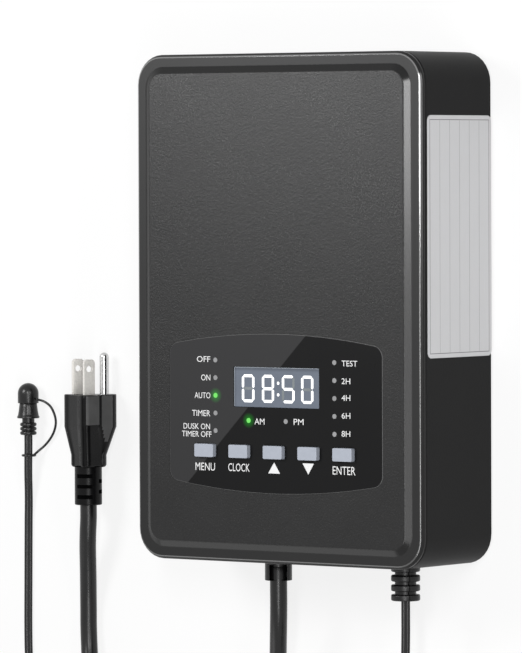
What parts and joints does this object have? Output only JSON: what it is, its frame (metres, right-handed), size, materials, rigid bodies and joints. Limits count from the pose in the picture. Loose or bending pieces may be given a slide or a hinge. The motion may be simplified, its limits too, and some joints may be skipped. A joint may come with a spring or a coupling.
{
  "type": "low voltage landscape transformer",
  "caption": "Flat plug-in transformer with a timer panel, display and push buttons on its front, a mains cord with plug, and a light sensor on a twin cord, laid on its back.",
  "frame": {"origin": "middle of the case's flat back face, which rests on the surface; the cords, plug, glands and sensor are left out of the measure", "axes": "+X to the right of the panel, +Y towards the case's top end, +Z out of the front face"},
  "size_m": [0.3054, 0.4481, 0.0646],
  "materials": {
    "case_plastic": "fine texture",
    "cover_plastic": "fine leather texture",
    "seal_rubber": "matt",
    "screw_steel": "zinc plated",
    "plate_foil": "satin silver foil",
    "panel_gloss": "glossy",
    "window_acrylic": "smoked",
    "pipe_grey": "translucent, unlit",
    "pipe_green": "translucent, lit",
    "button_plastic": "satin",
    "board_laminate": "solder resist",
    "component_black": "moulded",
    "component_white": "moulded",
    "relay_blue": "moulded",
    "cell_steel": "bright",
    "contact_brass": "bright",
    "core_steel": "wound silicon steel strip",
    "winding_copper": "enamelled copper",
    "tape_yellow": "polyester tape",
    "cord_black": "satin vinyl",
    "lead_blue": "vinyl",
    "lead_red": "vinyl",
    "moulded_black": "soft vinyl moulding",
    "eye_smoke": "smoked lens"
  },
  "bodies": {
    "unit": {"rear_case": "case_plastic", "front_cover": "cover_plastic", "cover_seal": "seal_rubber", "case_screws": "screw_steel", "rating_plate": "plate_foil", "control_panel": "panel_gloss", "display_window": "window_acrylic", "indicator_pipes_grey": "pipe_grey", "indicator_pipes_green": "pipe_green", "control_board": "board_laminate", "board_screws": "screw_steel", "tact_switches": "component_black", "board_leds": "component_white", "display_module": "component_black", "relay": "relay_blue", "board_capacitors": "component_black", "backup_cell": "cell_steel", "cell_clip": "contact_brass", "timer_chip": "component_black", "sensor_header": "component_white", "toroid_core": "core_steel", "primary_winding": "winding_copper", "secondary_winding": "winding_copper", "winding_tape": "tape_yellow", "rear_pad": "seal_rubber", "front_pad": "seal_rubber", "dished_washer": "screw_steel", "core_bolt": "screw_steel", "bolt_insert": "contact_brass", "thermal_cutout": "component_white", "mains_strip": "component_white", "mains_inner_cord": "cord_black", "primary_leads": "lead_blue", "secondary_leads": "lead_red", "sensor_inner_lead": "cord_black", "terminal_block": "component_black", "terminal_clamps": "contact_brass", "terminal_screws": "screw_steel", "mains_gland": "moulded_black", "mains_cord_lead": "cord_black", "mains_cord_coil": "cord_black", "mains_cord_tail": "cord_black", "mains_coil_tie": "moulded_black", "plug_body": "moulded_black", "plug_blades": "contact_brass", "plug_ground_pin": "contact_brass", "sensor_gland": "moulded_black", "sensor_cord_lead": "cord_black", "sensor_cord_coil": "cord_black", "sensor_cord_tail": "cord_black", "sensor_coil_tie": "moulded_black", "sensor_head": "moulded_black", "sensor_eye": "eye_smoke", "cap_tether": "moulded_black"},
    "menu_button": {"button_menu": "button_plastic"},
    "clock_button": {"button_clock": "button_plastic"},
    "up_button": {"button_up": "button_plastic"},
    "down_button": {"button_down": "button_plastic"},
    "enter_button": {"button_enter": "button_plastic"},
    "cap": {"sensor_cap": "moulded_black"}
  },
  "joints": [
    {"name": "menu_press", "type": "slide", "parent": "unit", "child": "menu_button", "axis": [0, 0, -1], "range_m": [0, 0.0008], "stiffness_N_per_m": 600, "springref_m": -0.0004},
    {"name": "clock_press", "type": "slide", "parent": "unit", "child": "clock_button", "axis": [0, 0, -1], "range_m": [0, 0.0008], "stiffness_N_per_m": 600, "springref_m": -0.0004},
    {"name": "up_press", "type": "slide", "parent": "unit", "child": "up_button", "axis": [0, 0, -1], "range_m": [0, 0.0008], "stiffness_N_per_m": 600, "springref_m": -0.0004},
    {"name": "down_press", "type": "slide", "parent": "unit", "child": "down_button", "axis": [0, 0, -1], "range_m": [0, 0.0008], "stiffness_N_per_m": 600, "springref_m": -0.0004},
    {"name": "enter_press", "type": "slide", "parent": "unit", "child": "enter_button", "axis": [0, 0, -1], "range_m": [0, 0.0008], "stiffness_N_per_m": 600, "springref_m": -0.0004},
    {"name": "cap_pull", "type": "slide", "parent": "unit", "child": "cap", "axis": [0, 1, 0], "range_m": [0, 0.014], "deforming": ["cap_tether"]}
  ]
}
